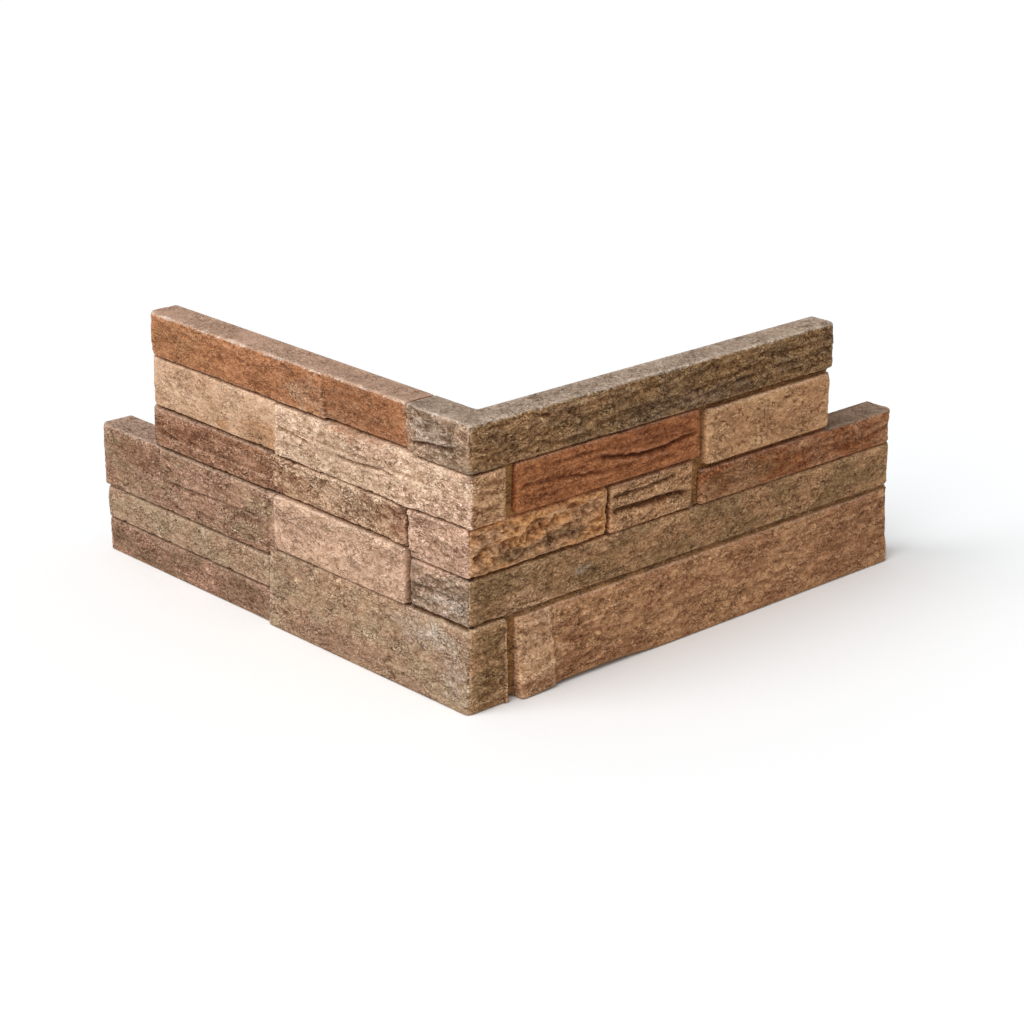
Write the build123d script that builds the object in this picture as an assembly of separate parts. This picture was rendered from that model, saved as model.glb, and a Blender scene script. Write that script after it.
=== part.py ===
from build123d import *
import os
from collections import namedtuple

# A moulded veneer corner for the outside corner of a wall, cast as one piece. Its face is a
# pattern of long thin stones at uneven depths, with tight joints moulded between them.
#
# Frame, in millimetres: the Z axis is the wall's outside corner and Z = 0 is the bed that the
# unit stands on. The left leg runs along +Y with its flat back on X = 0, and the right leg
# runs along +X with its flat back on Y = 0. The stone faces look towards -X and -Y.
#
# Distances along a leg are measured from the outer corner of the nominal face, and heights
# from the bed. A face's "proud" is how far it stands in front of the nominal face.

# Overall sizes
LEFT_LEG = 307.0
RIGHT_LEG = 312.0
LEG_STEP = 51.0
FACE_THICKNESS = 19.0

# Joints between the stones, and the rounding of the stones' edges
JOINT_WIDTH = 1.0
JOINT_DEPTH = 5.0
EDGE_JOINT_DEPTH = 1.0
ARRIS_RADIUS = 1.2

# Heights of the five courses that meet at the corner, from the bed up
BASE_COURSE = 45.0
FOURTH_COURSE = 25.5
THIRD_COURSE = 26.5
SECOND_COURSE = 28.0
TOP_COURSE = 25.0

# Where a leg's joints leave the corner's courses
LEFT_THIRD_JOINT_RISE = 5.0
LEFT_FOURTH_JOINT_DROP = 6.0
LEFT_BASE_STRIP = 19.5
RIGHT_SECOND_JOINT_DROP = 6.0

# Upright joints, along the legs
LONG_RETURN = 46.5
SHORT_RETURN = 22.0
LEFT_MIDDLE = 151.5
LEFT_LOW_MIDDLE = 158.5
RIGHT_NEAR = 92.5
RIGHT_MIDDLE = 155.0

# How much wider some of the right leg's upright and level joints are
HEAD_GAP = 3.5
BED_GAP = 1.2

# Sizes that follow from those above
LEFT_UPPER_LEG = LEFT_LEG - LEG_STEP
RIGHT_UPPER_LEG = RIGHT_LEG - LEG_STEP
LEG_ENDS = (LEFT_LEG, RIGHT_LEG, LEFT_UPPER_LEG, RIGHT_UPPER_LEG)
BASE_TOP = BASE_COURSE
FOURTH_TOP = BASE_TOP + FOURTH_COURSE
THIRD_TOP = FOURTH_TOP + THIRD_COURSE
SECOND_TOP = THIRD_TOP + SECOND_COURSE
UNIT_HEIGHT = SECOND_TOP + TOP_COURSE
LEFT_STEP_LEVEL = FOURTH_TOP + LEFT_THIRD_JOINT_RISE
LEFT_FOURTH_LEVEL = BASE_TOP - LEFT_FOURTH_JOINT_DROP
RIGHT_STEP_LEVEL = THIRD_TOP - RIGHT_SECOND_JOINT_DROP
BACKING_THICKNESS = FACE_THICKNESS - JOINT_DEPTH

Stone = namedtuple("Stone", "start end bottom top proud notch_length notch_height", defaults=(0.0, 0.0))
CornerStone = namedtuple("CornerStone", "left_return right_return bottom top left_proud right_proud")

# The step in one left stone that clears the corner stone of the base course
NOTCH = dict(notch_length=LEFT_LOW_MIDDLE - LEFT_MIDDLE, notch_height=LEFT_FOURTH_JOINT_DROP)

LEFT_STONES = [
    Stone(LONG_RETURN, LEFT_UPPER_LEG, SECOND_TOP, UNIT_HEIGHT, proud=0.6),
    Stone(LEFT_MIDDLE, LEFT_UPPER_LEG, THIRD_TOP, SECOND_TOP, proud=0.2),
    Stone(LONG_RETURN, LEFT_UPPER_LEG, LEFT_STEP_LEVEL, THIRD_TOP, proud=1.6),
    Stone(LEFT_MIDDLE, LEFT_LEG, LEFT_FOURTH_LEVEL, LEFT_STEP_LEVEL, proud=2.6, **NOTCH),
    Stone(LONG_RETURN, LEFT_MIDDLE, BASE_TOP, LEFT_STEP_LEVEL, proud=4.2),
    Stone(LEFT_LOW_MIDDLE, LEFT_LEG, LEFT_BASE_STRIP, LEFT_FOURTH_LEVEL, proud=1.4),
    Stone(LEFT_LOW_MIDDLE, LEFT_LEG, 0.0, LEFT_BASE_STRIP, proud=0.8),
]

RIGHT_STONES = [
    Stone(SHORT_RETURN + HEAD_GAP, RIGHT_MIDDLE, THIRD_TOP + BED_GAP, SECOND_TOP, proud=0.6),
    Stone(
        RIGHT_MIDDLE + HEAD_GAP, RIGHT_UPPER_LEG, RIGHT_STEP_LEVEL + BED_GAP, SECOND_TOP - BED_GAP, proud=1.2
    ),
    Stone(RIGHT_NEAR, RIGHT_MIDDLE, FOURTH_TOP, THIRD_TOP, proud=-1.2),
    Stone(RIGHT_MIDDLE + HEAD_GAP, RIGHT_LEG, FOURTH_TOP, RIGHT_STEP_LEVEL, proud=-0.2),
    Stone(SHORT_RETURN + HEAD_GAP, RIGHT_LEG, 0.0, BASE_TOP - BED_GAP, proud=0.2),
]

CORNER_STONES = [
    CornerStone(LONG_RETURN, RIGHT_UPPER_LEG, SECOND_TOP, UNIT_HEIGHT, left_proud=2.0, right_proud=-0.8),
    CornerStone(LEFT_MIDDLE, SHORT_RETURN, THIRD_TOP, SECOND_TOP, left_proud=2.2, right_proud=0.3),
    CornerStone(LONG_RETURN, RIGHT_NEAR, FOURTH_TOP, THIRD_TOP, left_proud=1.0, right_proud=-2.6),
    CornerStone(LONG_RETURN, RIGHT_LEG, BASE_TOP, FOURTH_TOP, left_proud=0.9, right_proud=-2.6),
    CornerStone(LEFT_LOW_MIDDLE, SHORT_RETURN, 0.0, BASE_TOP, left_proud=1.7, right_proud=-1.0),
]


def box_between(low, high):
    """An upright box between two opposite corners."""
    size = Vector(*high) - Vector(*low)
    centre = (Vector(*high) + Vector(*low)) / 2
    return Pos(centre) * Box(size.X, size.Y, size.Z)


def leg_box(leg, start, end, bottom, top, thickness):
    """A box on one leg, from the wall plane out to its own face."""
    near, far = start - FACE_THICKNESS, end - FACE_THICKNESS
    if leg == "left":
        return box_between((-thickness, near, bottom), (0, far, top))
    return box_between((near, -thickness, bottom), (far, 0, top))


def inset(level, outer_level):
    """Half a joint, or nothing at the unit's own edge."""
    return 0.0 if level == outer_level else JOINT_WIDTH / 2


def rounded(stone):
    """The stone with every edge rounded but those on the flat back."""
    shown = [e for e in stone.edges() if min(e.center().X, e.center().Y) < -BACKING_THICKNESS / 4]
    return fillet(shown, ARRIS_RADIUS)


def end_inset(end):
    """Half a joint where a stone meets another, or nothing at the end of a leg."""
    return 0.0 if end in LEG_ENDS else JOINT_WIDTH / 2


def bed_to_top(stone):
    """The stone's bottom and top, with half a joint taken off where another stone follows."""
    return stone.bottom + inset(stone.bottom, 0.0), stone.top - inset(stone.top, UNIT_HEIGHT)


def straight_stone(leg, stone):
    """A stone that lies on one leg only, with any notch taken out of its lower near corner."""
    bottom, top = bed_to_top(stone)
    start = stone.start + JOINT_WIDTH / 2
    end = stone.end - end_inset(stone.end)
    thickness = FACE_THICKNESS + stone.proud
    block = leg_box(leg, start, end, bottom, top, thickness)
    if stone.notch_length:
        block -= leg_box(leg, start, start + stone.notch_length, bottom, bottom + stone.notch_height, thickness)
    return rounded(block)


def corner_stone(stone):
    """A stone that turns the outer corner, with a return on each leg."""
    bottom, top = bed_to_top(stone)
    left_face = FACE_THICKNESS + stone.left_proud
    right_face = FACE_THICKNESS + stone.right_proud
    left_end = stone.left_return - end_inset(stone.left_return)
    right_end = stone.right_return - end_inset(stone.right_return)
    left_arm = leg_box("left", -stone.right_proud, left_end, bottom, top, left_face)
    right_arm = leg_box("right", -stone.left_proud, right_end, bottom, top, right_face)
    return rounded(left_arm + right_arm)


def backing(leg, low_length, high_length, step_level):
    """The body behind one leg's joints, stepped like the leg and set in from its edges."""
    low_end = low_length - EDGE_JOINT_DEPTH
    high_end = high_length - EDGE_JOINT_DEPTH
    corner = JOINT_DEPTH
    low = leg_box(leg, corner, low_end, EDGE_JOINT_DEPTH, step_level - EDGE_JOINT_DEPTH, BACKING_THICKNESS)
    high = leg_box(leg, corner, high_end, EDGE_JOINT_DEPTH, UNIT_HEIGHT - EDGE_JOINT_DEPTH, BACKING_THICKNESS)
    return low + high


def veneer_corner():
    """The whole unit as one solid."""
    body = backing("left", LEFT_LEG, LEFT_UPPER_LEG, LEFT_STEP_LEVEL)
    body += backing("right", RIGHT_LEG, RIGHT_UPPER_LEG, RIGHT_STEP_LEVEL)
    stones = [straight_stone("left", s) for s in LEFT_STONES]
    stones += [straight_stone("right", s) for s in RIGHT_STONES]
    stones += [corner_stone(s) for s in CORNER_STONES]
    return body + stones


os.makedirs("parts", exist_ok=True)
export_step(veneer_corner(), "parts/veneer_corner.step")
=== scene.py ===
import math
from collections import namedtuple

import bmesh
import bpy
import numpy as np
from mathutils import Matrix, Vector, kdtree


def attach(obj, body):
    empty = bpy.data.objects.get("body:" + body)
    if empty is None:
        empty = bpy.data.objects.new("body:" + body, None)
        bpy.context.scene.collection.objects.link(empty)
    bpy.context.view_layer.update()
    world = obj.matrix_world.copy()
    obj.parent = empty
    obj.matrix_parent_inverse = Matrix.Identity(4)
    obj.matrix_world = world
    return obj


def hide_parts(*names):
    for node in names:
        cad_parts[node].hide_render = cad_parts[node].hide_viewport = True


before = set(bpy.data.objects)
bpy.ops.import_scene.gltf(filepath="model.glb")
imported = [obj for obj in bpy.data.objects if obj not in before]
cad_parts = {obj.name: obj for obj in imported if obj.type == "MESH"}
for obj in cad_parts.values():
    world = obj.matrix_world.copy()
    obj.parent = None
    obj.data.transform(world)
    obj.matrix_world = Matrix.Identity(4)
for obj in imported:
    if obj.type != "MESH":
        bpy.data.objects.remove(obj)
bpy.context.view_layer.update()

# The visual model of a cast veneer corner. The solid from the frame is remeshed finely, its stone
# faces are given split-stone relief and worn edges, and the mesh is then thinned where it is plain.
# The shape is worked out in millimetres. "Along" runs from the outer corner along a leg, "up" from
# the bed, and "out" from the wall plane towards the viewer.

MM = 0.001
NODE = "veneer_corner"

# Sizes of the mesh and of the solid that it is made from
VOXEL = 0.65
MOST_TRIANGLES = 194000
NOMINAL_FACE = 19.0
DEEPEST_STONE_FACE = 15.5
BACK_SKIN = 0.8
UNIT_TOP = 150.0
CORNER_ZONE = 8.0

# How much more one way than the other a place at the outer corner looks to belong to that way's leg, how
# near the end of the upper courses a stone's end is free, the distance at which two corners of the solid
# are one, and how straight a flat face looks out
CORNER_TURN = 0.5
FREE_END = 5.0
SAME_PLACE = 0.0065
STRAIGHT_OUT = 0.999

# Rounds of smoothing for the mesh, and for finding its sharp edges, small bulges and large hollows
MESH_ROUNDS = 2
SHARP_ROUNDS = 8
SMALL_ROUNDS = 6
LARGE_ROUNDS = 24

# A band is a pair of values. What it is for is absent below the first value, full above the second, and
# comes in smoothly between them.

# Joints: bands of the depth below a face at which a stone gives way to a joint, of the distance to the next
# stone, of the distance past the stone's own face, of the height over the joint's mouth and of the place
# out from the wall; how deep a joint is cut, and how far the right leg's joints are filled
JOINT_DEPTHS = (2.0, 4.5)
JOINT_HALF_WIDTHS = (1.8, 2.5)
JOINT_EDGE = (0.2, 0.8)
JOINT_MOUTH = (0.0, 1.0)
JOINT_CUT_OUT = (6.0, 11.0)
JOINT_CUT = 3.5
JOINT_FILL = 1.1

# Bands of how far a surface looks one way, as the part of its normal along that way
ARRIS_FACING = (0.15, 0.45)
SHOWN_FACING = (0.15, 0.7)
JOINT_FACING = (0.3, 0.8)
BACK_FACING = (0.5, 0.9)
END_FACING = (0.4, 0.9)
RIM_FACING = (0.2, 0.4)
GRAINED_UPWARD = (0.5, 0.9)
BARE_UPWARD = (0.6, 0.95)
LEDGE_UPWARD = (0.35, 0.75)

# Places along and up from which a leg's lower courses have a top of their own
LEFT_STEP = (255.0, 74.0)
RIGHT_STEP = (260.0, 89.0)

# Place along the left leg of the joint that shows on the unit's top, the band of its half width, and the
# depths below the top at which that joint, the bare top and the top edge's deeper chips end
TOP_JOINT = 46.5
TOP_JOINT_HALF_WIDTHS = (0.3, 0.9)
TOP_JOINT_DEPTH = 3.0
TOP_SKIN = 2.0
TOP_EDGE = 10.0

# Pigments of the casting, as linear colour
TERRACOTTA = (0.47, 0.200, 0.090)
RUST = (0.41, 0.168, 0.073)
CREAM = (0.71, 0.450, 0.286)
BUFF = (0.64, 0.385, 0.232)
IVORY = (0.77, 0.530, 0.360)
BLUSH = (0.70, 0.440, 0.300)
SHELL = (0.75, 0.476, 0.330)
TAWNY = (0.59, 0.365, 0.220)
ORANGE = (0.52, 0.255, 0.115)
OCHRE = (0.80, 0.375, 0.140)
PINK = (0.64, 0.395, 0.267)
SALMON = (0.52, 0.300, 0.200)
OXBLOOD = (0.26, 0.116, 0.060)
WINE = (0.37, 0.190, 0.110)
ROSE_BROWN = (0.40, 0.220, 0.140)
BROWN = (0.43, 0.265, 0.165)
TAN = (0.50, 0.320, 0.200)
OLIVE = (0.33, 0.205, 0.120)
OLIVE_TAN = (0.42, 0.285, 0.175)
DARK_BROWN = (0.27, 0.155, 0.092)
GREY_DRAB = (0.42, 0.290, 0.200)
GREY_WARM = (0.47, 0.305, 0.195)
GREY_PALE = (0.66, 0.540, 0.440)
UMBER = (0.23, 0.145, 0.090)
# The next three are warmer, more saturated colours for the right leg, which lies in shade: painted warm shade
SHADED_SIDE_UMBER = (0.25, 0.140, 0.065)
SHADED_SIDE_OLIVE = (0.35, 0.198, 0.090)
SHADED_SIDE_BROWN = (0.51, 0.270, 0.130)
MOSS = (0.305, 0.160, 0.066)
BRICK = (0.46, 0.167, 0.062)
BRICK_DARK = (0.35, 0.118, 0.043)
MAROON = (0.325, 0.113, 0.040)
SIENNA = (0.60, 0.310, 0.150)
SIENNA_DARK = (0.48, 0.225, 0.108)
HONEY = (0.84, 0.490, 0.275)
PEACH = (0.70, 0.390, 0.195)
STRAW = (0.64, 0.355, 0.180)
# The left leg's joint colour is partly the joints' own dark and partly painted shade in the joints
JOINT_DARK = (0.22, 0.090, 0.024)
MORTAR = (0.43, 0.215, 0.076)
PALE_DUST_AND_HIGHLIGHT = (0.90, 0.770, 0.640)
TOP_GREY = (0.49, 0.357, 0.263)
TOP_PINK = (0.62, 0.388, 0.270)
TOP_DRAB = (0.55, 0.363, 0.267)
# The top of the right leg's lower courses, painted darker: painted shade from the courses above
TOP_SHADED_BROWN = (0.34, 0.222, 0.150)
BACK_GREY = (0.36, 0.300, 0.245)

# Relief of a stone: heights in millimetres of its layers, flakes, lumps, facets, ridges and pits
Relief = namedtuple("Relief", "layers flakes lumps facets ridges pits")
FLAT = Relief(0.3, 0.35, 0.3, 0.0, 0.0, 0.3)
GRAINED = Relief(0.6, 0.45, 0.3, 0.0, 0.0, 0.3)
PITTED = Relief(0.3, 0.40, 0.4, 0.0, 0.0, 0.8)
SMOOTH = Relief(0.3, 0.30, 0.15, 0.0, 0.0, 0.7)
LUMPY = Relief(0.4, 0.50, 0.6, 0.5, 0.0, 0.5)
CHISELLED = Relief(0.6, 0.50, 0.6, 2.2, 0.0, 0.4)
SPLIT = Relief(1.2, 0.50, 0.3, 0.9, 0.9, 0.3)
RIDGED = Relief(0.4, 0.40, 0.3, 0.0, 1.35, 0.3)
KNOBBLY = Relief(1.0, 0.40, 1.4, 3.2, 0.0, 0.8)

# The stones. Each is found by a point on its face, and has a main and a second pigment, a relief, the
# strength of its fine light and dark grain, how far its face leans out at its four edges, and how far
# its start, end, bottom and top are moved.
Look = namedtuple(
    "Look",
    "leg along up ground patch relief grain top bottom near far moves",
    defaults=(0.0, 0.0, 0.0, 0.0, (0.0, 0.0, 0.0, 0.0)),
)
LOOKS = [
    Look("left", 150, 137, TERRACOTTA, RUST, GRAINED, 0.72, top=1.0, bottom=0.5, moves=(3.0, 5.4, 0.4, 0)),
    Look("left", 25, 137, GREY_WARM, UMBER, CHISELLED, 1.0, bottom=0.8, moves=(0, 3.0, 0, 0)),
    Look("left", 200, 110, CREAM, BUFF, SMOOTH, 0.52, moves=(0, 5.8, 0, 0.4)),
    Look("left", 80, 110, IVORY, BLUSH, PITTED, 0.9),
    Look("left", 150, 86, OXBLOOD, WINE, GRAINED, 1.2, moves=(0, 5.0, 0, 0)),
    Look("left", 25, 84, PINK, SALMON, LUMPY, 1.0),
    Look("left", 80, 20, OLIVE_TAN, BROWN, FLAT, 0.9, bottom=1.5, moves=(0, 0, 0, -0.8)),
    Look("left", 220, 58, OLIVE, ROSE_BROWN, GRAINED, 1.1, moves=(0, 2.0, 0, 0)),
    Look("left", 100, 61, SHELL, PINK, SMOOTH, 0.7),
    Look("left", 25, 58, GREY_DRAB, UMBER, CHISELLED, 1.0),
    Look("left", 230, 30, OLIVE_TAN, BROWN, FLAT, 0.9, moves=(0, 1.2, 0, -0.5)),
    Look("left", 230, 10, DARK_BROWN, ROSE_BROWN, GRAINED, 1.0, moves=(0, 1.2, 0, 0)),
    # Stones that turn the corner have warmer, more saturated pigments on their right faces than on their left
    # ones: painted warm shade on the shaded leg
    Look("right", 120, 137, MOSS, SHADED_SIDE_UMBER, SPLIT, 1.3, bottom=0.8, moves=(0, 3.4, 0, 0)),
    Look("right", 12, 110, STRAW, SIENNA_DARK, LUMPY, 1.1),
    Look("right", 90, 110, BRICK, BRICK_DARK, RIDGED, 0.7, top=-1.0, bottom=0.5, moves=(2.4, 3.4, 0.3, 0)),
    Look("right", 200, 108, PEACH, SIENNA, SMOOTH, 0.65, top=-0.7, moves=(3.8, 1.0, 0.3, -0.8)),
    Look("right", 50, 84, OCHRE, SIENNA, KNOBBLY, 0.75, moves=(0, 1.6, 0, -0.4)),
    Look("right", 120, 84, SIENNA, SHADED_SIDE_BROWN, RIDGED, 1.2, moves=(2.0, 0.6, 0, -0.3)),
    Look("right", 230, 80, MAROON, SIENNA_DARK, GRAINED, 0.9, moves=(1.5, 4.7, 0, -0.6)),
    Look("right", 150, 58, SHADED_SIDE_BROWN, SHADED_SIDE_OLIVE, FLAT, 1.0, far=2.0, moves=(0, 5.7, 0.2, 0)),
    Look("right", 12, 23, SHADED_SIDE_OLIVE, SHADED_SIDE_BROWN, GRAINED, 1.1, bottom=0.8, moves=(0, 2.4, 0, 0)),
    Look(
        "right", 150, 23, SIENNA, SIENNA_DARK, GRAINED, 0.85, top=-2.3, bottom=1.8, moves=(4.6, 6.7, 0, -0.8)
    ),
]

# Stains on the stones: a soft spot of another pigment
Stain = namedtuple("Stain", "leg along up half_length half_height pigment strength")
STAINS = [
    Stain("left", 98, 84, 54, 60, TAWNY, 1.0),
    Stain("left", 80, 84, 26, 9, TAN, 0.6),
    Stain("left", 25, 84, 22, 30, PINK, 1.0),
    Stain("left", 100, 108, 60, 18, IVORY, 0.8),
    Stain("left", 100, 62, 54, 15, SHELL, 0.8),
    Stain("left", 100, 138, 90, 14, TERRACOTTA, 0.6),
    Stain("left", 232, 138, 22, 14, ORANGE, 0.6),
    Stain("left", 80, 137, 30, 18, RUST, 0.7),
    Stain("left", 25, 137, 22, 14, GREY_WARM, 0.6),
    Stain("left", 165, 104, 17, 10, ORANGE, 0.8),
    Stain("left", 197, 101, 6, 5, ORANGE, 0.8),
    Stain("left", 130, 136, 18, 9, TAWNY, 0.45),
    Stain("left", 270, 64, 25, 8, OXBLOOD, 0.6),
    Stain("left", 226, 46, 34, 8, ROSE_BROWN, 0.7),
    Stain("left", 32, 34, 24, 9, GREY_PALE, 0.45),
    Stain("left", 12, 18, 9, 12, GREY_PALE, 0.5),
    Stain("left", 100, 8, 50, 9, ROSE_BROWN, 0.6),
    Stain("left", 18, 55, 14, 6, GREY_PALE, 0.5),
    Stain("left", 28, 140, 16, 7, GREY_PALE, 0.5),
    Stain("right", 30, 138, 40, 14, SHADED_SIDE_BROWN, 0.3),
    Stain("right", 62, 144, 44, 5, SHADED_SIDE_BROWN, 0.4),
    Stain("right", 150, 131, 48, 5, UMBER, 0.6),
    Stain("right", 225, 141, 26, 7, SHADED_SIDE_OLIVE, 0.4),
    Stain("right", 38, 22, 20, 45, HONEY, 1.0),
    Stain("right", 265, 80, 40, 9, BRICK_DARK, 0.5),
    Stain("right", 285, 22, 30, 20, SIENNA_DARK, 0.6),
    Stain("right", 75, 57, 5, 3, GREY_PALE, 0.6),
    # The next two stains are painted shade: dark bands low on the knobbly stone of the right leg
    Stain("right", 62, 79, 18, 4, SHADED_SIDE_UMBER, 0.8),
    Stain("right", 28, 77, 14, 4, SHADED_SIDE_UMBER, 0.8),
    Stain("right", 46, 87, 10, 3, BRICK_DARK, 0.7),
    Stain("right", 82, 89, 8, 5, HONEY, 0.6),
    Stain("right", 12, 89, 12, 6, HONEY, 0.7),
    Stain("right", 56, 92, 12, 3, HONEY, 0.6),
    Stain("right", 190, 80, 34, 9, SHADED_SIDE_OLIVE, 0.5),
    Stain("right", 40, 58, 60, 14, SHADED_SIDE_OLIVE, 0.4),
    Stain("right", 12, 22, 9, 26, MOSS, 0.4),
]

# Deep grooves along the grain of single stones
Groove = namedtuple("Groove", "leg points width depth")
GROOVES = [
    Groove("right", [(86, 114.5), (112, 110), (130, 110), (151, 112.5)], 1.2, 2.1),
    Groove("right", [(28, 112), (42, 112.3), (60, 110.7), (88, 106.5)], 1.0, 1.1),
    Groove("right", [(94, 82.5), (113, 81.8), (133, 81.5), (151, 80.5)], 1.6, 3.4),
    Groove("right", [(92, 90.0), (120, 90.5), (140, 91.5)], 0.9, 1.6),
    Groove("left", [(150, 112), (138, 112.8), (122, 111)], 0.7, 1.8),
    Groove("left", [(100, 110.5), (84, 110), (70, 111.5), (56, 111)], 0.7, 1.8),
    Groove("left", [(42, 132), (30, 133.5), (12, 134.5)], 1.0, 2.4),
    Groove("left", [(248, 56.5), (200, 58.5), (160, 60)], 0.7, 1.0),
    Groove("left", [(45, 57), (30, 58.5), (10, 57.5)], 0.8, 1.4),
]

# Parts of a stone that stand in front of the rest or behind it: their heights at their bottom and top,
# and the width of the step at their ends
Slab = namedtuple("Slab", "leg start end bottom top low high step")
SLABS = [
    Slab("left", 40, 112, 124, 150, -2.6, -0.5, 1.2),
    Slab("left", 40, 57, 75, 97, 1.6, 1.6, 10.0),
    Slab("left", 158, 250, 58, 80, 1.2, 1.2, 1.5),
    Slab("left", 20, 150, 94, 110, 1.0, 1.0, 2.0),
    Slab("right", 20, 53, -5, 45, 1.6, 0.6, 2.0),
]

# Places where the unit's bed is hollow: how far and how high it is clear of the ground
Hollow = namedtuple("Hollow", "leg along half_length height")
HOLLOWS = [
    Hollow("right", 85, 55, 1.9),
]

# How far the ends of the legs are rounded off at their front, the bands of places past a stone's face and
# below it for that, and the lengths over which a moved edge of a stone draws the rest of it along
END_ROUNDING = 1.4
FACE_ROUNDING = 1.4
END_ZONE = (-3.5, 1.0)
END_DEPTHS = (0.0, 4.0)
ALONG_BLEND = 40.0
MOST_BLEND = 0.9
UP_BLEND = 6.0

# Relief: the height of its broad waves, the steps of its layers and flakes, the band of a step's riser, the
# mean of a folded noise and the band of the noise that makes pits
BROAD_HEIGHT = 0.5
SHEET_STEPS = 3
FLAKE_STEPS = 2
RISER = (0.35, 0.75)
FOLD_MEAN = 0.35
PIT_NOISE = (0.3, 0.8)

# Grooves sway by a share of their width and fade out past and within their ends. The edges of raised parts
# sway along, rise over a short way at their bottom, and reach past their top.
GROOVE_SWAY = 0.5
GROOVE_PAST = 3.0
GROOVE_WITHIN = 4.0
SLAB_SWAY = 2.0
SLAB_RISE = 0.8
SLAB_PAST = 3.0

# The relief's share at a stone's edge, and the bands of places inside a face for it and for the edge's lip
EDGE_RELIEF = 0.3
EDGE_INSIDE = (0.0, 4.0)
LIP_INSIDE = (-0.5, 2.8)

# Chips: bands of noise and of sharpness, and depths in millimetres, with what is added at the unit's top
EDGE_CHIP_NOISE = (-0.1, 0.9)
LIP_CHIP_NOISE = (0.1, 0.9)
ARRIS_CHIP_NOISE = (0.0, 0.9)
SHARPNESS = (0.08, 0.3)
EDGE_CHIP = 0.6
EDGE_CHIP_AT_TOP = 0.4
LIP = 0.25
LIP_CHIP = 0.7
LIP_CHIP_AT_TOP = 0.9
ARRIS = 0.3
ARRIS_CHIP_DEPTH = 1.7

# Heights in millimetres of the other small moves, and the bands of places for them
END_PLACES = (200.0, 220.0)
SCALLOP_HEIGHT = 1.3
END_GRAIN_HEIGHT = 0.25
TOP_GRAIN_HEIGHT = 0.2
ABOVE_GROUND = (0.3, 2.5)
SWAY_HEIGHT = 0.25
SWAY_ABOVE = (3.0, 12.0)
SWAY_BELOW = (138.0, 147.0)
HOLLOW_NOISE = (-0.2, 0.7)
HOLLOW_HEIGHT = 0.4
HOLLOW_AWAY = (0.2, 1.0)
HOLLOW_OUT = (6.0, 16.0)
HOLLOW_UP = (0.0, 10.0)
LEAN_OUT = (0.0, 8.0)

# Stains: how far they reach, how much a noise tears their edge, the band of that edge, and how much darker
# and weaker they are in the second pigment
STAIN_REACH = 1.2
STAIN_TEAR = 0.6
STAIN_EDGE = (0.0, 0.8)
STAIN_PATCH_SHADE = 0.8
STAIN_PATCH_SHARE = 0.7

# Painted shade along the bed, in the joints' colour, and the shade of the second pigment on joints, tops and
# back
BED_SHADE = 0.8
BED_SHADE_UP = (0.4, 1.6)
PATCH_SHADE = 0.85

# Wear with painted highlights on the ledges, and painted shade in hollows and grooves with painted light on
# bulges: bands, and strengths on the left leg and the right one. The depth of a hollow that is as dark as it
# gets is in millimetres.
WORN_BULGE = (0.08, 0.35)
WORN_UP = (144.0, 149.0)
WEAR = (1.0, 0.6)
WEAR_ELSEWHERE = 0.4
LEDGE_DEPTHS = (3.0, 4.5)
LEDGE_HIGHLIGHT = (0.85, 0.6)
RIM_UP = (146.0, 148.0)
RIM_NOISE = (-0.15, 0.25)
RIM_WEAR = (1.4, 0.9)
CAVITY = 0.5
LIGHTEST_ON_BULGES = -0.4
RELIEF_SHADE = (0.7, 1.1)
GROOVE_SHADE = 0.4
GRAIN_LOST_ON_TOP = 0.45

# Layers of noise: a seed, wavelengths in millimetres along, up and out, and how finely they go on. Each
# stone's noise is shifted along by a number of wavelengths.
Layer = namedtuple("Layer", "seed along up out octaves gain", defaults=(1, 0.5))
BROAD = Layer(1, 60, 24, 60)
SHEET = Layer(2, 30, 6, 30, octaves=3)
LUMP = Layer(3, 8, 5, 8, octaves=3, gain=0.6)
FACET = Layer(4, 15, 8, 15, octaves=3)
RIDGE = Layer(5, 42, 6, 42, octaves=3)
PIT = Layer(6, 3.6, 3.0, 3.6, octaves=2)
SCALLOP = Layer(7, 40, 9, 40)
END_GRAIN = Layer(8, 6, 5, 6, octaves=2)
CHIP = Layer(9, 7, 5, 7, octaves=2, gain=0.6)
TOP_GRAIN = Layer(10, 5, 5, 5, octaves=3, gain=0.6)
SWAY = Layer(11, 26, 14, 40)
TEAR = Layer(12, 9, 5, 9, octaves=4, gain=0.6)
FLAKE = Layer(13, 7, 4, 7, octaves=3, gain=0.6)
HOLLOW = Layer(14, 70, 50, 50)
GROOVE_WOBBLE = Layer(31, 6, 50, 50)
SLAB_WOBBLE = Layer(37, 9, 5, 50, octaves=3)
ARRIS_CHIP = Layer(41, 5, 5.5, 5, octaves=3, gain=0.6)
STONE_SHIFT = 7.7


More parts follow.
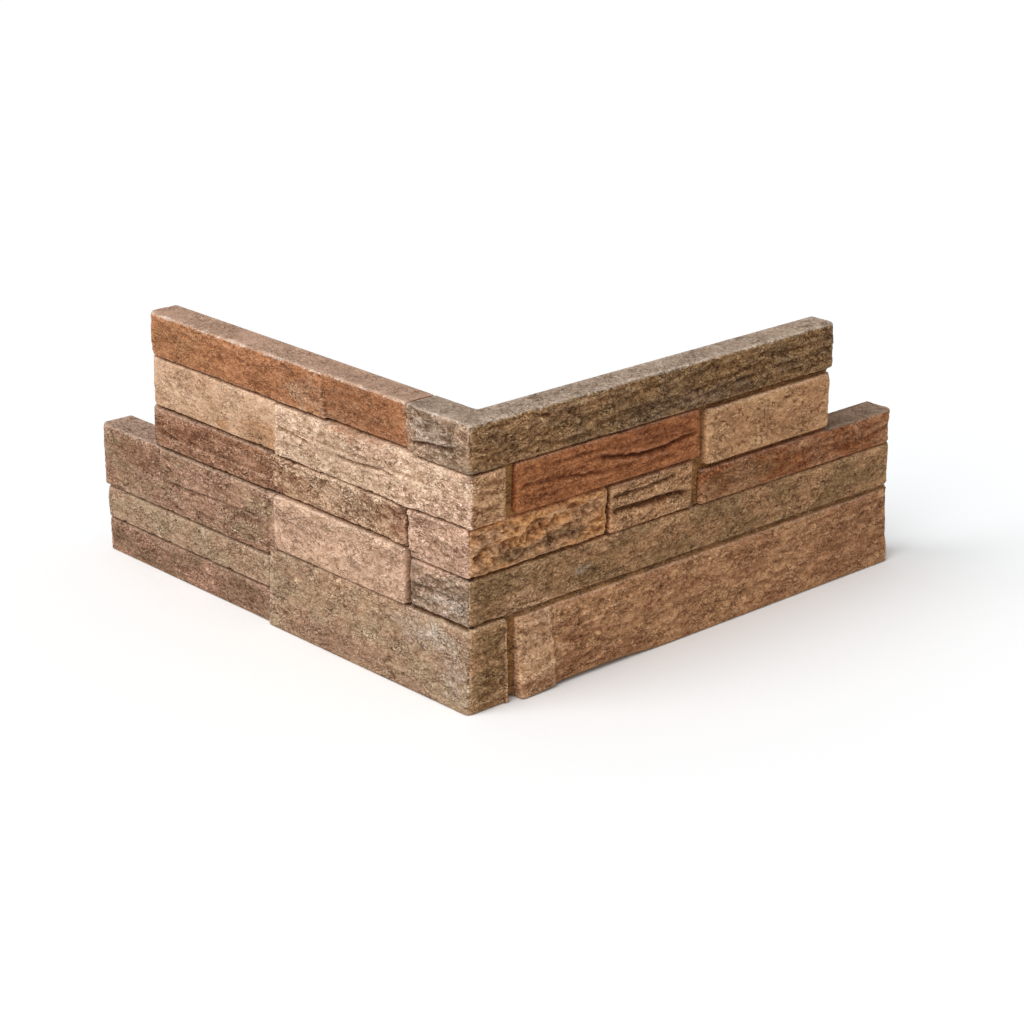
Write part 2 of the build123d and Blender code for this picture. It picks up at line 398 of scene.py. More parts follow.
class Noise:
    """Smooth random values between about -1 and 1 over space, the same on every run."""

    SIZE = 256
    SCALE = 1.6
    OCTAVE = 2.03
    OCTAVE_SHIFT = 17.3

    def __init__(self, seed):
        random = np.random.RandomState(seed)
        # The order is repeated, so that a place added to another still lies inside it
        self.order = np.tile(random.permutation(self.SIZE), 3)
        slopes = random.normal(size=(self.SIZE, 3))
        self.slopes = slopes / np.linalg.norm(slopes, axis=1, keepdims=True)

    def at(self, places):
        """Noise of one size."""
        cell = np.floor(places).astype(int)
        part = places - cell
        fade = part**3 * (part * (part * 6 - 15) + 10)
        cell %= self.SIZE
        total = np.zeros(len(places))
        for corner in np.ndindex(2, 2, 2):
            index = cell + corner
            drawn = self.order[self.order[self.order[index[:, 0]] + index[:, 1]] + index[:, 2]]
            height = (self.slopes[drawn] * (part - corner)).sum(axis=1)
            share = np.where(corner, fade, 1 - fade).prod(axis=1)
            total += height * share
        return total * self.SCALE

    def rough(self, places, octaves, gain):
        """Several sizes of noise together."""
        total = np.zeros(len(places))
        for octave in range(octaves):
            total += self.at(places * self.OCTAVE**octave + self.OCTAVE_SHIFT * octave) * gain**octave
        return total


def ramp(values, low, high):
    """0 below low, 1 above high, and smooth between."""
    share = np.clip((values - low) / (high - low), 0, 1)
    return share * share * (3 - 2 * share)


def smoothed(values, edges, rounds):
    """Each vertex's value drawn halfway to its neighbours' mean, round after round."""
    count = np.bincount(edges.ravel(), minlength=len(values))
    ends = np.concatenate([edges[:, 0], edges[:, 1]])
    others = np.concatenate([edges[:, 1], edges[:, 0]])
    for _ in range(rounds):
        means = [np.bincount(ends, column[others], len(values)) / count for column in values.T]
        values = (values + np.stack(means, axis=1)) / 2
    return values


def read_vectors(collection, name):
    """One vector for each item of a mesh's collection."""
    values = np.empty(len(collection) * 3, np.float32)
    collection.foreach_get(name, values)
    return values.reshape(-1, 3).astype(float)


def read_edges(mesh):
    edges = np.empty(len(mesh.edges) * 2, np.int32)
    mesh.edges.foreach_get("vertices", edges)
    return edges.reshape(-1, 2)


def flat_patches(mesh, axis):
    """The boxes of the stones' flat faces that look along the negative axis, in millimetres."""
    solid = bmesh.new()
    solid.from_mesh(mesh)
    bmesh.ops.remove_doubles(solid, verts=solid.verts, dist=SAME_PLACE * MM)
    solid.faces.ensure_lookup_table()
    waiting = [
        face.index
        for face in solid.faces
        if face.normal[axis] < -STRAIGHT_OUT and face.verts[0].co[axis] < -DEEPEST_STONE_FACE * MM
    ]
    waiting = dict.fromkeys(waiting)
    boxes = []
    while waiting:
        group = [waiting.popitem()[0]]
        for number in group:
            for vertex in solid.faces[number].verts:
                for face in vertex.link_faces:
                    if face.index in waiting:
                        del waiting[face.index]
                        group.append(face.index)
        corners = np.array([v.co for number in group for v in solid.faces[number].verts]) / MM
        boxes.append((corners.min(axis=0), corners.max(axis=0)))
    solid.free()
    return boxes


Face = namedtuple("Face", "leg start end bottom top out")


def stone_faces(mesh):
    """The stones' faces, in the order of LOOKS."""
    found = []
    for leg, across, length in (("left", 0, 1), ("right", 1, 0)):
        for low, high in flat_patches(mesh, across):
            start, end = low[length] + NOMINAL_FACE, high[length] + NOMINAL_FACE
            found.append(Face(leg, start, end, low[2], high[2], -low[across]))
    faces = []
    for look in LOOKS:
        here = [
            f
            for f in found
            if f.leg == look.leg and f.start < look.along < f.end and f.bottom < look.up < f.top
        ]
        faces.append(here[0])
    return faces


def fine_mesh(node):
    """An even fine mesh of a solid."""
    copy = bpy.data.objects.new("fine", node.data.copy())
    bpy.context.scene.collection.objects.link(copy)
    remesh = copy.modifiers.new("fine", "REMESH")
    remesh.mode = "VOXEL"
    remesh.voxel_size = VOXEL * MM
    mesh = bpy.data.meshes.new_from_object(copy.evaluated_get(bpy.context.evaluated_depsgraph_get()))
    bpy.data.objects.remove(copy)
    return mesh


def thinned(mesh):
    """The mesh with no more than MOST_TRIANGLES, kept dense where it is rough."""
    holder = bpy.data.objects.new("thin", mesh)
    bpy.context.scene.collection.objects.link(holder)
    thin = holder.modifiers.new("thin", "DECIMATE")
    corners = len(mesh.loops)
    triangles = corners - 2 * len(mesh.polygons)
    thin.ratio = min(1.0, MOST_TRIANGLES / triangles)
    thin.use_collapse_triangulate = True
    result = bpy.data.meshes.new_from_object(holder.evaluated_get(bpy.context.evaluated_depsgraph_get()))
    bpy.data.objects.remove(holder)
    return result


class Surface:
    """Places on the casting in leg terms, with the stone that each belongs to."""

    def __init__(self, points, normals, faces):
        x, y, z = points.T
        turn = normals[:, 1] - normals[:, 0]
        at_corner = (np.maximum(x, y) < CORNER_ZONE - NOMINAL_FACE) & (np.abs(turn) > CORNER_TURN)
        self.is_left = np.where(at_corner, turn > 0, y > x)
        self.along = np.where(self.is_left, y, x) + NOMINAL_FACE
        self.up = z
        self.out = -np.where(self.is_left, x, y)
        self.facing = -np.where(self.is_left, normals[:, 0], normals[:, 1])
        self.endward = np.where(self.is_left, normals[:, 1], normals[:, 0])
        self.upward = normals[:, 2]
        both_ways = np.minimum(-normals[:, 0], -normals[:, 1])
        self.arris = ramp(both_ways, *ARRIS_FACING) * (self.along < CORNER_ZONE)
        self.leg_end = np.where(self.is_left, LEFT_STEP[0], RIGHT_STEP[0])
        self.stone, neighbour, self.to_neighbour = self.nearest_stones(faces)
        limits = np.array([face[1:] for face in faces], float)[self.stone]
        self.start, self.end, self.bottom, self.top, self.face_out = limits.T
        self.sunk = self.face_out - self.out
        self.on_stone = 1 - ramp(self.sunk, *JOINT_DEPTHS)
        self.joint_mouth = np.minimum(self.face_out, np.array([face.out for face in faces])[neighbour])
        self.at_end = (self.end > self.leg_end - FREE_END) * ramp(self.along - self.end, *END_ZONE)

    def nearest_stones(self, faces):
        """The stone whose flat face is nearest, the next nearest, and the distance to that one."""
        gaps = np.full((len(faces), len(self.along)), np.inf)
        for gap, face in zip(gaps, faces):
            on_leg = self.on_leg(face.leg)
            beside = np.maximum(face.start - self.along, self.along - face.end)
            above = np.maximum(face.bottom - self.up, self.up - face.top)
            gap[on_leg] = np.hypot(np.maximum(beside, 0), np.maximum(above, 0))[on_leg]
        everywhere = np.arange(len(self.along))
        stone = gaps.argmin(axis=0)
        gaps[stone, everywhere] = np.inf
        neighbour = gaps.argmin(axis=0)
        return stone, neighbour, gaps[neighbour, everywhere]

    def on_leg(self, leg):
        return self.is_left if leg == "left" else ~self.is_left

    def noise(self, layer):
        """A layer of noise, apart for each stone."""
        along = self.along / layer.along + self.stone * STONE_SHIFT
        places = np.stack([along, self.up / layer.up, self.out / layer.out], axis=1)
        return Noise(layer.seed).rough(places, layer.octaves, layer.gain)

    def by_leg(self, values):
        """The first value on the left leg, the second on the right one."""
        return np.where(self.is_left, *values)

    def of_stones(self, values):
        """Each stone's own value at the places that belong to it."""
        return np.array(values, float)[self.stone]

    def inside(self):
        """How far each place lies inside the flat part of its stone's face, less than 0 past it."""
        level = np.minimum(self.up - self.bottom, self.top - self.up)
        return np.minimum(np.minimum(self.along - self.start, self.end - self.along), level)

    def joint_line(self):
        """1 along the middle of a joint between two stones, 0 away from it and in front of it."""
        near = (1 - ramp(self.to_neighbour, *JOINT_HALF_WIDTHS)) * ramp(-self.inside(), *JOINT_EDGE)
        return near * (1 - ramp(self.out - self.joint_mouth, *JOINT_MOUTH))

    def edge_moves(self):
        """How far the moved edges of the stones draw each place along the leg and up."""
        start, end, bottom, top = self.of_stones([look.moves for look in LOOKS]).T
        blend = np.minimum(ALONG_BLEND, MOST_BLEND * (self.end - self.start))
        along = start * (1 - ramp((self.along - self.start) / blend, 0, 1))
        along += end * ramp((self.along - self.end) / blend, -1, 0)
        up = bottom * (1 - ramp(self.up - self.bottom, 0, UP_BLEND))
        up += top * ramp(self.up - self.top, -UP_BLEND, 0)
        return along, up

    def top_joint(self):
        """1 along the joint that crosses the top of the left leg."""
        across = 1 - ramp(np.abs(self.along - TOP_JOINT), *TOP_JOINT_HALF_WIDTHS)
        return across * self.is_left * (self.up > UNIT_TOP - TOP_JOINT_DEPTH)

    def bare_top(self):
        """1 on the unit's own tops, 0 on the ledges between its stones."""
        past_left = self.is_left & (self.along > LEFT_STEP[0]) & (self.up > LEFT_STEP[1])
        past_right = ~self.is_left & (self.along > RIGHT_STEP[0]) & (self.up > RIGHT_STEP[1])
        level = past_left | past_right | (self.up > UNIT_TOP - TOP_SKIN)
        return ramp(self.upward, *BARE_UPWARD) * level


def groove_depth(surface, groove, wobble):
    """How deep a groove is cut at each place."""
    along, up = np.array(groove.points, float).T
    order = np.argsort(along)
    centre = np.interp(surface.along, along[order], up[order])
    across = np.exp(-(((surface.up - centre) / groove.width - GROOVE_SWAY * wobble) ** 2))
    inside = ramp(surface.along, along.min() - GROOVE_PAST, along.min() + GROOVE_WITHIN)
    inside *= 1 - ramp(surface.along, along.max() - GROOVE_WITHIN, along.max() + GROOVE_PAST)
    return groove.depth * across * inside * surface.on_leg(groove.leg)


def grooves(surface):
    """How deep all the grooves together are cut at each place."""
    wobble = surface.noise(GROOVE_WOBBLE)
    return sum(groove_depth(surface, groove, wobble) for groove in GROOVES)


def slab_height(surface, slab, wobble):
    """How far a raised part of a stone stands in front of the rest, less than 0 where it lies behind it."""
    along = surface.along + SLAB_SWAY * wobble
    up = surface.up + wobble
    half = slab.step / 2
    inside = ramp(along, slab.start - half, slab.start + half)
    inside *= 1 - ramp(along, slab.end - half, slab.end + half)
    inside *= ramp(up, slab.bottom - SLAB_RISE, slab.bottom + SLAB_RISE) * (surface.up < slab.top + SLAB_PAST)
    high = np.clip((surface.up - slab.bottom) / (slab.top - slab.bottom), 0, 1)
    return (slab.low + (slab.high - slab.low) * high) * inside * surface.on_leg(slab.leg)


def terraced(values, steps):
    """The values gathered on to steps with soft risers."""
    scaled = values * steps
    level = np.floor(scaled)
    return (level + ramp(scaled - level, *RISER)) / steps


def relief(surface):
    """Height of the split-stone surface over the plain stone, in millimetres."""
    layers, flakes, lumps, facets, ridges, pits = surface.of_stones([look.relief for look in LOOKS]).T
    height = surface.noise(BROAD) * BROAD_HEIGHT
    height += layers * terraced(surface.noise(SHEET), SHEET_STEPS)
    height += flakes * terraced(surface.noise(FLAKE), FLAKE_STEPS)
    height += lumps * surface.noise(LUMP)
    height += facets * (FOLD_MEAN - np.abs(surface.noise(FACET)))
    height += ridges * (FOLD_MEAN - np.abs(surface.noise(RIDGE)))
    height -= pits * ramp(surface.noise(PIT), *PIT_NOISE)
    return height - grooves(surface)


def standing_out(surface):
    """How far the leaning faces and raised parts stand in front of the plain stones, in millimetres."""
    high = np.clip((surface.up - surface.bottom) / (surface.top - surface.bottom), 0, 1)
    away = np.clip((surface.along - surface.start) / (surface.end - surface.start), 0, 1)
    leans = [(look.top, look.bottom, look.near, look.far) for look in LOOKS]
    top, bottom, near, far = surface.of_stones(leans).T
    height = bottom + (top - bottom) * high + near + (far - near) * away
    height -= FACE_ROUNDING * surface.at_end
    wobble = surface.noise(SLAB_WOBBLE)
    for slab in SLABS:
        height += slab_height(surface, slab, wobble)
    return height * surface.on_stone


def bulge(points, normals, edges, rounds):
    """How far each vertex stands out of its smoothed surroundings, in millimetres."""
    return ((points - smoothed(points, edges, rounds)) * normals).sum(axis=1)


def bed_hollows(surface):
    """How far the bed is lifted off the ground at each place, in millimetres."""
    lift = ramp(surface.noise(HOLLOW), *HOLLOW_NOISE) * HOLLOW_HEIGHT
    for place in HOLLOWS:
        away = np.abs(surface.along - place.along) / place.half_length
        lift += place.height * (1 - ramp(away, *HOLLOW_AWAY)) * surface.on_leg(place.leg)
    return lift * ramp(surface.out, *HOLLOW_OUT) * (1 - ramp(surface.up, *HOLLOW_UP))


def surface_heights(surface, sharpness):
    """How far relief, scallops and chips move each place along its normal, in millimetres."""
    inside = surface.inside()
    shown = ramp(surface.facing, *SHOWN_FACING) * surface.on_stone
    height = relief(surface) * shown * (EDGE_RELIEF + (1 - EDGE_RELIEF) * ramp(inside, *EDGE_INSIDE))
    ends = ramp(surface.endward, *END_FACING) * ramp(surface.along, *END_PLACES)
    height += (surface.noise(SCALLOP) * SCALLOP_HEIGHT + surface.noise(END_GRAIN) * END_GRAIN_HEIGHT) * ends
    chip = surface.noise(CHIP)
    at_top = surface.up > UNIT_TOP - TOP_EDGE
    edge_chip = EDGE_CHIP + EDGE_CHIP_AT_TOP * at_top
    height -= ramp(chip, *EDGE_CHIP_NOISE) * ramp(sharpness, *SHARPNESS) * edge_chip
    lip = (1 - ramp(inside, *LIP_INSIDE)) * shown
    height -= (LIP + ramp(chip, *LIP_CHIP_NOISE) * (LIP_CHIP + LIP_CHIP_AT_TOP * at_top)) * lip
    arris_chip = ramp(surface.noise(ARRIS_CHIP), *ARRIS_CHIP_NOISE)
    height -= surface.arris * (ARRIS + ARRIS_CHIP_DEPTH * arris_chip)
    height += surface.noise(TOP_GRAIN) * TOP_GRAIN_HEIGHT * ramp(surface.upward, *GRAINED_UPWARD)
    return height * ramp(surface.up, *ABOVE_GROUND)


def offsets(surface, normals, sharpness):
    """How far each place is moved from the plain solid to the rough one, in millimetres."""
    front = ramp(surface.out, BACK_SKIN / 2, BACK_SKIN)
    sway = surface.noise(SWAY) * SWAY_HEIGHT
    sway *= ramp(surface.up, *SWAY_ABOVE) * (1 - ramp(surface.up, *SWAY_BELOW))
    out = standing_out(surface) * ramp(surface.out, *LEAN_OUT)
    out += JOINT_FILL * (1 - surface.on_stone) * ramp(surface.facing, *JOINT_FACING) * ~surface.is_left
    out -= JOINT_CUT * surface.joint_line() * ramp(surface.out, *JOINT_CUT_OUT)
    along, up = surface.edge_moves()
    along -= END_ROUNDING * surface.at_end * (1 - ramp(surface.sunk, *END_DEPTHS))
    moved = normals * (surface_heights(surface, sharpness) * front)[:, None]
    moved[:, 0] += np.where(surface.is_left, -out * front, along)
    moved[:, 1] += np.where(surface.is_left, along, -out * front)
    moved[:, 2] += (up + sway + bed_hollows(surface)) * front
    return moved


def blended(colours, others, share):
    return colours + (others - colours) * share[:, None]


def top_pigments(surface):
    """The pigment of a bare top at each place: the lower courses' own, with painted shade on the right leg's,
    the left leg's and the rest's.
    """
    low = surface.up < UNIT_TOP - TOP_EDGE
    past_joint = surface.is_left & (surface.along > TOP_JOINT)
    tops = [surface.is_left & low, ~surface.is_left & low, past_joint]
    pigments = np.array([TOP_DRAB, TOP_SHADED_BROWN, TOP_PINK])[:, None]
    return np.select([top[:, None] for top in tops], pigments, TOP_GREY)


def colour_stones(surface):
    """The main and second pigment at each place, with stains, joints, painted shade along the bed, bare tops
    and the plain back.
    """
    ground = surface.of_stones([look.ground for look in LOOKS])
    patch = surface.of_stones([look.patch for look in LOOKS])
    tear = surface.noise(TEAR)
    for stain in STAINS:
        away_along = (surface.along - stain.along) / stain.half_length
        away = np.hypot(away_along, (surface.up - stain.up) / stain.half_height)
        share = ramp(STAIN_REACH - away + STAIN_TEAR * tear, *STAIN_EDGE) * stain.strength
        share *= surface.on_leg(stain.leg)
        pigment = np.array(stain.pigment)
        ground = blended(ground, pigment, share)
        patch = blended(patch, pigment * STAIN_PATCH_SHADE, share * STAIN_PATCH_SHARE)
    joint = ramp(surface.facing, *JOINT_FACING) * (1 - surface.on_stone)
    joint = np.maximum(joint, surface.joint_line())
    # Painted contact shade: a band in the joints' colour just above the ground, carried by the joints' share
    joint = np.maximum(joint, BED_SHADE * (1 - ramp(surface.up, *BED_SHADE_UP)))
    joint = np.maximum(joint, surface.top_joint())
    # On the left leg the joints' dark colour is partly painted shade
    joint_pigment_and_shade = np.where(surface.is_left[:, None], JOINT_DARK, MORTAR)
    back = ramp(-surface.facing, *BACK_FACING)
    coats = [(surface.bare_top(), top_pigments(surface)), (joint, joint_pigment_and_shade), (back, np.array(BACK_GREY))]
    for share, pigment in coats:
        ground = blended(ground, pigment, share)
        patch = blended(patch, pigment * PATCH_SHADE, share)
    return ground, patch


def weathering(surface, small_bulge, large_bulge):
    """Wear with painted highlights on ledges, painted shade in hollows and grooves with painted light on
    bulges, and the strength of the fine grain at each place.
    """
    bare = surface.bare_top()
    exposed = np.maximum(ramp(surface.up, *WORN_UP), surface.arris)
    wear_and_highlight = ramp(small_bulge, *WORN_BULGE) * surface.by_leg(WEAR)
    wear_and_highlight *= WEAR_ELSEWHERE + (1 - WEAR_ELSEWHERE) * exposed
    # Pale upward ledges: a painted highlight where light from above catches them
    ledge_highlight = ramp(surface.upward, *LEDGE_UPWARD) * (1 - bare) * (1 - ramp(surface.sunk, *LEDGE_DEPTHS))
    wear_and_highlight = np.maximum(wear_and_highlight, ledge_highlight * surface.by_leg(LEDGE_HIGHLIGHT))
    wear_and_highlight *= 1 - surface.joint_line()
    rim = ramp(surface.upward, *RIM_FACING) * ramp(surface.facing, *RIM_FACING) * ramp(surface.up, *RIM_UP)
    rim *= ramp(surface.noise(CHIP), *RIM_NOISE) * surface.by_leg(RIM_WEAR)
    wear_and_highlight = np.maximum(wear_and_highlight, rim)
    # Painted shade: darker in large hollows and grooves, and painted light on bulges
    relief_shade = np.clip(-large_bulge / CAVITY, LIGHTEST_ON_BULGES, 1.0) * surface.by_leg(RELIEF_SHADE)
    relief_shade += GROOVE_SHADE * grooves(surface) * surface.on_stone
    grain = surface.of_stones([look.grain for look in LOOKS]) * (1 - GRAIN_LOST_ON_TOP * bare)
    return np.stack([wear_and_highlight, relief_shade, grain], axis=1)


def write_attribute(mesh, name, kind, values):
    attribute = mesh.attributes.new(name, kind, "POINT")
    field = {"FLOAT_COLOR": "color", "FLOAT_VECTOR": "vector"}[kind]
    if kind == "FLOAT_COLOR":
        values = np.column_stack([values, np.ones(len(values))])
    attribute.data.foreach_set(field, values.astype(np.float32).ravel())


def nearest(points, wanted):
    """The index of the point nearest each wanted place."""
    tree = kdtree.KDTree(len(points))
    for number, point in enumerate(points):
        tree.insert(point, number)
    tree.balance()
    return np.array([tree.find(place)[1] for place in wanted])


def make_casting(node):
    """The whole casting as one mesh object, with what its material reads stored on its vertices."""
    faces = stone_faces(node.data)
    mesh = fine_mesh(node)
    edges = read_edges(mesh)
    points = smoothed(read_vectors(mesh.vertices, "co") / MM, edges, MESH_ROUNDS)
    mesh.vertices.foreach_set("co", (points * MM).astype(np.float32).ravel())
    normals = smoothed(read_vectors(mesh.vertex_normals, "vector"), edges, MESH_ROUNDS)
    normals /= np.linalg.norm(normals, axis=1, keepdims=True)
    surface = Surface(points, normals, faces)
    rough_points = points + offsets(surface, normals, bulge(points, normals, edges, SHARP_ROUNDS))
    mesh.vertices.foreach_set("co", (rough_points * MM).astype(np.float32).ravel())
    mesh.update()
    fine_normals = read_vectors(mesh.vertex_normals, "vector")
    small_bulge = bulge(rough_points, fine_normals, edges, SMALL_ROUNDS)
    large_bulge = bulge(rough_points, fine_normals, edges, LARGE_ROUNDS)
    state = weathering(surface, small_bulge, large_bulge)
    ground, patch = colour_stones(surface)
    result = thinned(mesh)
    source = nearest(rough_points * MM, read_vectors(result.vertices, "co"))
    write_attribute(result, "ground", "FLOAT_COLOR", ground[source])
    write_attribute(result, "patch", "FLOAT_COLOR", patch[source])
    write_attribute(result, "state", "FLOAT_VECTOR", state[source])
    result.polygons.foreach_set("use_smooth", np.ones(len(result.polygons), bool))
    result.name = "casting"
    casting = bpy.data.objects.new("casting", result)
    bpy.context.scene.collection.objects.link(casting)
    return casting


# Layers of the material's noise: wavelengths in millimetres for the level ways and for up, and how finely
# and how roughly they go on
Texture = namedtuple("Texture", "level up detail roughness", defaults=(0.55,))
BEND_TEXTURE = Texture(6, 4, 2)
MOTTLE_TEXTURE = Texture(30, 13, 6, 0.65)
AREA_TEXTURE = Texture(16, 9, 2)
CLOUD_TEXTURE = Texture(9, 4.5, 3)
BLOT_TEXTURE = Texture(5, 2.8, 4, 0.65)
CREASE_TEXTURE = Texture(5.0, 2.2, 0)
WRINKLE_TEXTURE = Texture(2.2, 1.3, 0)
RIB_TEXTURE = Texture(4.0, 2.6, 0)
SPECK_TEXTURE = Texture(1.3, 0.9, 1)

# The middle value of every layer, and how far in millimetres the layers are bent, level and up
NOISE_MIDDLE = 0.5
BEND = (6.0, 6.0, 4.0)

# Half widths and heights of the thin lines where a layer crosses its middle value
CREASE_LINE = (0.07, -0.60)
WRINKLE_LINE = (0.12, -0.34)
RIB_LINE = (0.05, 0.36)

# Values of a layer between which a tone or a share runs, and what it runs from and to
SPECK_TONES = (0.2, 0.8, -0.50, 0.56)
BLOT_TONES = (0.58, 0.65, 0.0, -0.60)
CLOUD_TONES = (0.2, 0.8, -0.20, 0.52)
AREA_STRENGTH = (0.35, 0.65, 0.6, 1.35)
MOTTLE_SHARE = (0.44, 0.56)
WORN_AND_HIGHLIT_SPECKS = (0.40, 0.60, 0.3, 0.95)
DUST_AND_HIGHLIGHT_SHARE = (0.7, 1.2, 0.4, 0.95)

# How much brighter worn stone and painted highlights are, how dark the painted shade in hollows is, the
# height of the bump in millimetres, and the sheen
WORN_AND_HIGHLIT_BRIGHTNESS = 1.6
RELIEF_SHADE_TONE = -0.55
BUMP_HEIGHT = 0.5
ROUGHNESS = 0.92
SPECULAR = 0.2

# How strongly each part of a colour follows a darker or lighter tone
TONE_POWERS = {"Red": 0.88, "Green": 1.05, "Blue": 1.2}


class Tree:
    """Short ways to add nodes to a material or a world."""

    def __init__(self, material):
        material.use_nodes = True
        self.nodes = material.node_tree.nodes
        self.links = material.node_tree.links
        self.nodes.clear()

    def add(self, kind, inputs=(), **settings):
        node = self.nodes.new(kind)
        for name, value in settings.items():
            setattr(node, name, value)
        for name, value in dict(inputs).items():
            if isinstance(value, bpy.types.NodeSocket):
                self.links.new(value, node.inputs[name])
            else:
                node.inputs[name].default_value = value
        return node

    def attribute(self, name, output):
        return self.add("ShaderNodeAttribute", attribute_name=name).outputs[output]

    def vector(self, operation, first, second):
        return self.add("ShaderNodeVectorMath", {0: first, 1: second}, operation=operation).outputs[0]

    def noise(self, place, texture, output="Fac"):
        """A layer of noise in space."""
        scaled = self.vector("MULTIPLY", place, (1 / texture.level, 1 / texture.level, 1 / texture.up))
        inputs = {"Vector": scaled, "Scale": 1.0, "Detail": texture.detail, "Roughness": texture.roughness}
        return self.add("ShaderNodeTexNoise", inputs).outputs[output]

    def range(self, value, low, high, to_low=0.0, to_high=1.0):
        inputs = {"Value": value, "From Min": low, "From Max": high, "To Min": to_low, "To Max": to_high}
        return self.add("ShaderNodeMapRange", inputs).outputs["Result"]

    def maths(self, operation, first, second):
        return self.add("ShaderNodeMath", {0: first, 1: second}, operation=operation).outputs[0]

    def total(self, terms):
        result = terms[0]
        for term in terms[1:]:
            result = self.maths("ADD", result, term)
        return result

    def line(self, noise, width, height):
        """A height along the thin lines where a noise crosses its middle value, 0 away from them."""
        away = self.maths("ABSOLUTE", self.maths("SUBTRACT", noise, NOISE_MIDDLE), 0.0)
        return self.range(away, 0.0, width, height, 0.0)

    def mix(self, share, first, second):
        node = self.add("ShaderNodeMix", data_type="RGBA")
        for name, value in (("Factor", share), ("A", first), ("B", second)):
            socket = [s for s in node.inputs if s.name == name and s.enabled][0]
            if isinstance(value, bpy.types.NodeSocket):
                self.links.new(value, socket)
            else:
                socket.default_value = (*value, 1.0) if name != "Factor" else value
        return [s for s in node.outputs if s.enabled][0]

    def tint(self, tone):
        """A factor for colours that darkens to a warmer brown where the tone is below 0."""
        powers = {name: self.maths("MULTIPLY", tone, power) for name, power in TONE_POWERS.items()}
        factors = {name: self.maths("EXPONENT", power, 0.0) for name, power in powers.items()}
        return self.add("ShaderNodeCombineColor", factors).outputs[0]


def stone_material():
    """Mottled, creased and pitted cast stone, pale on its rubbed edges, with painted highlights on its
    ledges, painted shade in its hollows and painted light on its bulges.
    """
    material = bpy.data.materials.new("cast_stone")
    tree = Tree(material)
    place = tree.add("ShaderNodeTexCoord").outputs["Object"]
    place = tree.vector("MULTIPLY", place, (1 / MM, 1 / MM, 1 / MM))
    state = tree.add("ShaderNodeSeparateXYZ", {0: tree.attribute("state", "Vector")})
    wear_and_highlight, relief_shade, strength = (state.outputs[name] for name in "XYZ")
    shift = tree.vector("SUBTRACT", tree.noise(place, BEND_TEXTURE, output="Color"), (NOISE_MIDDLE,) * 3)
    bent = tree.vector("ADD", place, tree.vector("MULTIPLY", shift, BEND))
    mottle = tree.noise(bent, MOTTLE_TEXTURE)
    area = tree.noise(place, AREA_TEXTURE)
    cloud = tree.noise(bent, CLOUD_TEXTURE)
    blot = tree.noise(bent, BLOT_TEXTURE)
    speck = tree.noise(place, SPECK_TEXTURE)
    detail = tree.total(
        [
            tree.line(tree.noise(bent, CREASE_TEXTURE), *CREASE_LINE),
            tree.line(tree.noise(bent, WRINKLE_TEXTURE), *WRINKLE_LINE),
            tree.line(tree.noise(bent, RIB_TEXTURE), *RIB_LINE),
            tree.range(speck, *SPECK_TONES),
            tree.range(blot, *BLOT_TONES),
        ]
    )
    detail = tree.maths("MULTIPLY", detail, tree.range(area, *AREA_STRENGTH))
    tone = tree.maths("ADD", detail, tree.range(cloud, *CLOUD_TONES))
    tone = tree.maths("MULTIPLY", tone, strength)
    ground = tree.attribute("ground", "Color")
    patch = tree.attribute("patch", "Color")
    colour = tree.mix(tree.range(mottle, *MOTTLE_SHARE), ground, patch)
    colour = tree.vector("MULTIPLY", colour, tree.tint(tone))
    # Worn places and the painted highlights on ledges turn pale
    worn_and_highlit = tree.maths("MULTIPLY", wear_and_highlight, tree.range(speck, *WORN_AND_HIGHLIT_SPECKS))
    bright = tree.vector("MULTIPLY", ground, (WORN_AND_HIGHLIT_BRIGHTNESS,) * 3)
    pale = tree.mix(tree.range(wear_and_highlight, *DUST_AND_HIGHLIGHT_SHARE), bright, PALE_DUST_AND_HIGHLIGHT)
    colour = tree.mix(worn_and_highlit, colour, pale)
    # Painted shade of the hollows and grooves, with painted light on bulges
    colour = tree.vector("MULTIPLY", colour, tree.tint(tree.maths("MULTIPLY", relief_shade, RELIEF_SHADE_TONE)))
    bump = tree.add("ShaderNodeBump", {"Strength": 1.0, "Distance": BUMP_HEIGHT * MM, "Height": detail})
    stone = {"Base Color": colour, "Roughness": ROUGHNESS, "Specular IOR Level": SPECULAR}
    shader = tree.add("ShaderNodeBsdfPrincipled", {**stone, "Normal": bump.outputs[0]})
    tree.add("ShaderNodeOutputMaterial", {"Surface": shader.outputs[0]})
    return material


# Camera, fitted to the photograph's edges
CAMERA_PLACE = (-0.8173, -0.8928, 0.5474)
CAMERA_AZIMUTH = -43.297
CAMERA_ELEVATION = 20.405
CAMERA_ROLL = 0.636
CAMERA_LENS = 93.0
CAMERA_SENSOR = 36.0

# Light and floor. The floor's colour for the camera is brighter than for the light that it throws back, so
# that it shows as white.
SKY_STRENGTH = 0.35
KEY_STRENGTH = 2.1
KEY_FROM = (-0.72, 0.0, 0.70)
KEY_ANGLE = 60.0
FLOOR_COLOUR = 0.8
FLOOR_SEEN = (1.24, 1.258, 1.268)
FLOOR_HALF = 6.0


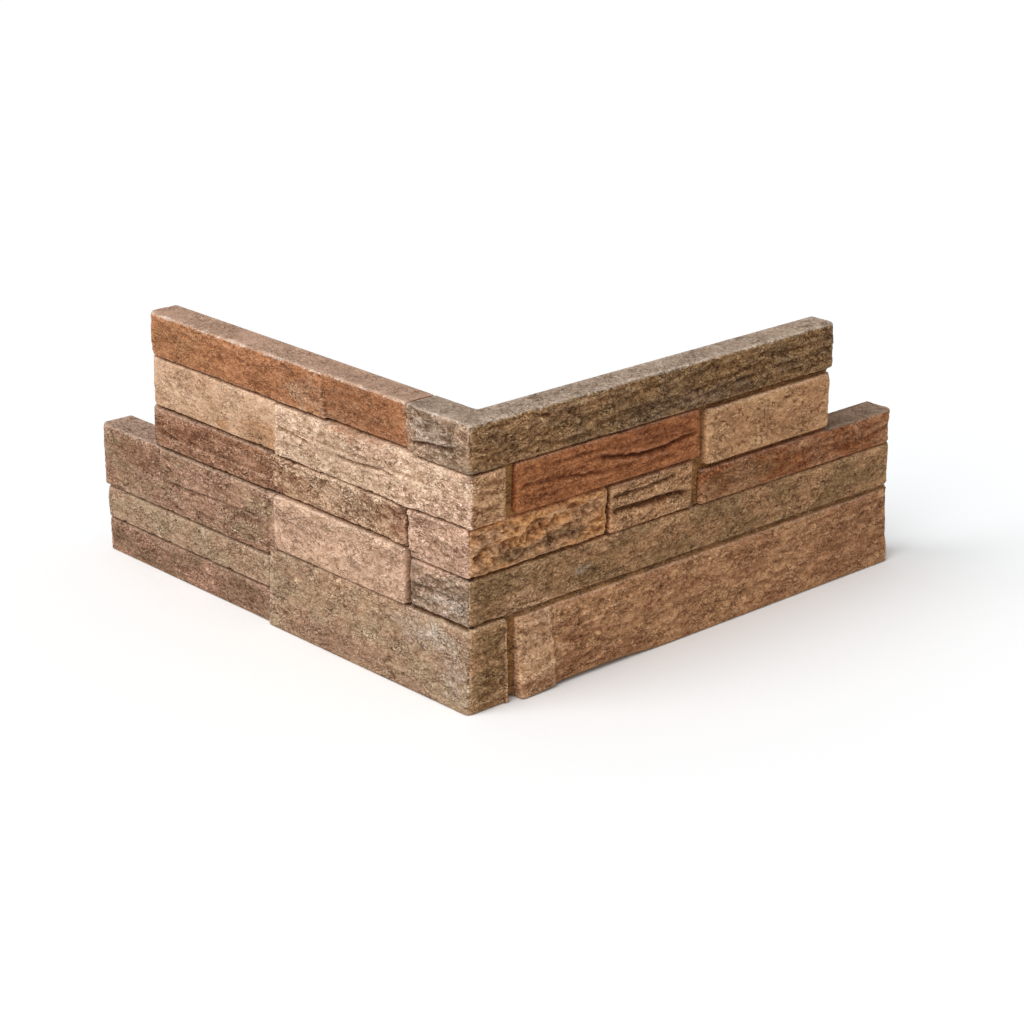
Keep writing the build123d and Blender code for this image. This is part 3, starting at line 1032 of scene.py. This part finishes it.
def make_camera():
    azimuth, elevation, roll = map(math.radians, (CAMERA_AZIMUTH, CAMERA_ELEVATION, CAMERA_ROLL))
    flat = math.cos(elevation)
    back = Vector((math.sin(azimuth) * flat, -math.cos(azimuth) * flat, math.sin(elevation)))
    right = Vector((math.cos(azimuth), math.sin(azimuth), 0.0))
    turn = Matrix((right, back.cross(right), back)).transposed() @ Matrix.Rotation(roll, 3, "Z")
    data = bpy.data.cameras.new("camera")
    data.lens = CAMERA_LENS
    data.sensor_width = CAMERA_SENSOR
    camera = bpy.data.objects.new("camera", data)
    camera.matrix_world = Matrix.LocRotScale(Vector(CAMERA_PLACE), turn, None)
    bpy.context.scene.collection.objects.link(camera)
    bpy.context.scene.camera = camera


def seen_directly(tree):
    """1 for what the camera sees, also by a mirror or through glass, and 0 for light that falls elsewhere."""
    path = tree.add("ShaderNodeLightPath").outputs
    mirrored = tree.maths("MAXIMUM", path["Is Glossy Ray"], path["Is Transmission Ray"])
    return tree.maths("MAXIMUM", path["Is Camera Ray"], mirrored)


def make_floor():
    """A plain white floor that keeps the shadow."""
    mesh = bpy.data.meshes.new("floor")
    corners = [(-FLOOR_HALF, -FLOOR_HALF, 0), (FLOOR_HALF, -FLOOR_HALF, 0)]
    corners += [(FLOOR_HALF, FLOOR_HALF, 0), (-FLOOR_HALF, FLOOR_HALF, 0)]
    mesh.from_pydata(corners, [], [(0, 1, 2, 3)])
    material = bpy.data.materials.new("floor")
    tree = Tree(material)
    white = tree.mix(seen_directly(tree), (FLOOR_COLOUR,) * 3, FLOOR_SEEN)
    shader = tree.add("ShaderNodeBsdfDiffuse", {"Color": white})
    tree.add("ShaderNodeOutputMaterial", {"Surface": shader.outputs[0]})
    mesh.materials.append(material)
    floor = bpy.data.objects.new("floor", mesh)
    bpy.context.scene.collection.objects.link(floor)


def make_light():
    """An even sky, seen as white, and one soft key light from the left."""
    world = bpy.data.worlds.new("studio")
    bpy.context.scene.world = world
    tree = Tree(world)
    strength = tree.range(seen_directly(tree), 0.0, 1.0, SKY_STRENGTH, 1.0)
    sky = tree.add("ShaderNodeBackground", {"Color": (1.0, 1.0, 1.0, 1.0), "Strength": strength})
    tree.add("ShaderNodeOutputWorld", {"Surface": sky.outputs[0]})
    data = bpy.data.lights.new("key", "SUN")
    data.energy = KEY_STRENGTH
    data.angle = math.radians(KEY_ANGLE)
    key = bpy.data.objects.new("key", data)
    key.rotation_euler = Vector(KEY_FROM).to_track_quat("Z", "Y").to_euler()
    bpy.context.scene.collection.objects.link(key)


casting = make_casting(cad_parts[NODE])
casting.data.materials.clear()
casting.data.materials.append(stone_material())
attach(casting, "root")
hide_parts(NODE)
make_floor()
make_light()
make_camera()
bpy.context.scene.view_settings.view_transform = "Standard"
